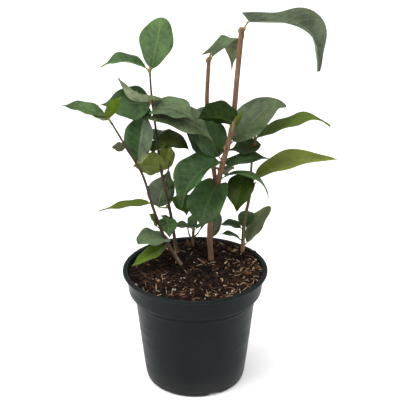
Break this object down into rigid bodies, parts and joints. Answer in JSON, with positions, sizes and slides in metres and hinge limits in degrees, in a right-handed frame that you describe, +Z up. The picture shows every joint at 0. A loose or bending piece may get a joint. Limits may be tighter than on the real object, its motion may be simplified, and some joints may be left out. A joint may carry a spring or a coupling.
{
  "type": "potted camellia shrub",
  "caption": "Young camellia shrub with a forked, leaning trunk, thin canes and glossy pointed leaves, growing in peat in a dark round nursery pot with a stepped rim.",
  "frame": {"origin": "centre of the pot's underside, on the ground", "axes": "+Z up along the pot's axis, +X to the right seen from the front, -Y towards the viewer"},
  "size_m": [0.2779, 0.161, 0.3951],
  "materials": {
    "pot_plastic": "satin",
    "peat": "rough, fibrous and damp",
    "bark": "matte, finely ridged",
    "cane_bark": "matte, dark",
    "foliage": "glossy above, duller below"
  },
  "bodies": {
    "root": {"pot": "pot_plastic", "soil": "peat", "trunk": "bark", "bough_right": "bark", "bough_left": "bark", "cane_outer": "cane_bark", "cane_inner": "cane_bark", "cane_right": "cane_bark", "shoot_back": "cane_bark", "foliage_outer_foot": "foliage", "foliage_outer_middle": "foliage", "foliage_outer_top": "foliage", "foliage_inner_foot": "foliage", "foliage_inner_middle": "foliage", "foliage_inner_shoulder": "foliage", "foliage_inner_top": "foliage", "foliage_right_foot": "foliage", "foliage_right_middle": "foliage", "foliage_right_top": "foliage", "foliage_back_shoot": "foliage", "foliage_crown_right": "foliage", "foliage_crown_left": "foliage", "foliage_upper_left": "foliage", "foliage_upper_bud": "foliage", "foliage_upper_right": "foliage", "foliage_upper_back": "foliage", "foliage_middle_up": "foliage", "foliage_middle_left": "foliage", "foliage_middle_right": "foliage", "foliage_middle_back": "foliage", "foliage_lower_right": "foliage", "foliage_lower_front": "foliage", "foliage_lower_back": "foliage", "foliage_foot_back": "foliage", "foliage_left_bough_low": "foliage", "foliage_left_bough_back": "foliage"}
  },
  "joints": []
}
